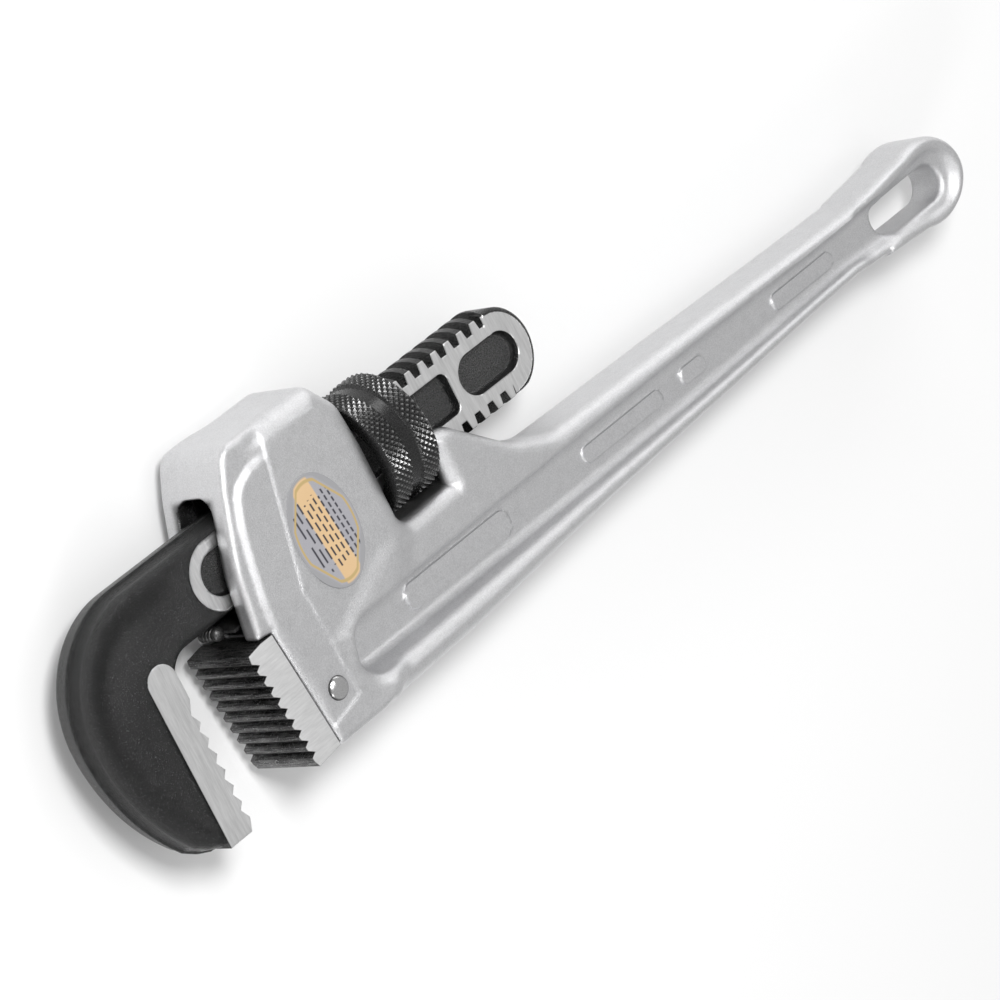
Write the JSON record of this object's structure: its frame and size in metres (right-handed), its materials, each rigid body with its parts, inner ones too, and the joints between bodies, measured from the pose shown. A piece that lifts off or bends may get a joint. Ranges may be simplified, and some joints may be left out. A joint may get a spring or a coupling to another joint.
{
  "type": "pipe wrench",
  "caption": "Straight pipe wrench with an I-section aluminium handle, a sliding hook jaw on a knurled adjusting nut, and a pinned toothed heel jaw.",
  "frame": {"origin": "bottom centre of the whole tool's box, as it lies on its side with the jaws about 20 mm open", "axes": "+X along the shank from the jaws to the handle's end, +Y from the jaw tips to the housing's back, +Z across the tool's thickness, up as it lies on its side"},
  "size_m": [0.337, 0.084, 0.034],
  "materials": {
    "cast_aluminium": "fine shot-blasted casting, satin",
    "black_forging": "black oxide forging with ground bright flats, semi-gloss",
    "jaw_steel": "ground sides, dark machined teeth",
    "pin_steel": "peened, bright",
    "nut_steel": "dark diamond knurl",
    "spring_steel": "oiled blue-black",
    "label_film": "printed satin film"
  },
  "bodies": {
    "handle_body": {"handle_casting": "cast_aluminium", "heel_jaw": "jaw_steel", "heel_jaw_pin": "pin_steel", "label": "label_film"},
    "spring_carrier": {"flat_spring": "spring_steel", "coil_spring": "spring_steel", "spring_rivet": "spring_steel"},
    "nut_body": {"adjusting_nut": "nut_steel"},
    "hook_body": {"hook_jaw": "black_forging"}
  },
  "joints": [
    {"name": "jaw_rock", "type": "hinge", "parent": "handle_body", "child": "spring_carrier", "pos_m": [-0.052, 0.015, 0.017], "axis": [0, 0, 1], "range_deg": [0, 2.4], "stiffness_Nm_per_rad": 10, "springref_deg": -2.86},
    {"name": "nut_spin", "type": "hinge", "parent": "spring_carrier", "child": "nut_body", "pos_m": [-0.052, 0.015, 0.017], "axis": [1, 0, 0], "range_deg": [-1081, 2341]},
    {"name": "jaw_slide", "type": "slide", "parent": "spring_carrier", "child": "hook_body", "axis": [-1, 0, 0], "range_m": [-0.01524, 0.03302]}
  ],
  "couplings": [
    {"joint": "nut_spin", "follows": "jaw_slide", "rad_per_m": 1236.8}
  ]
}
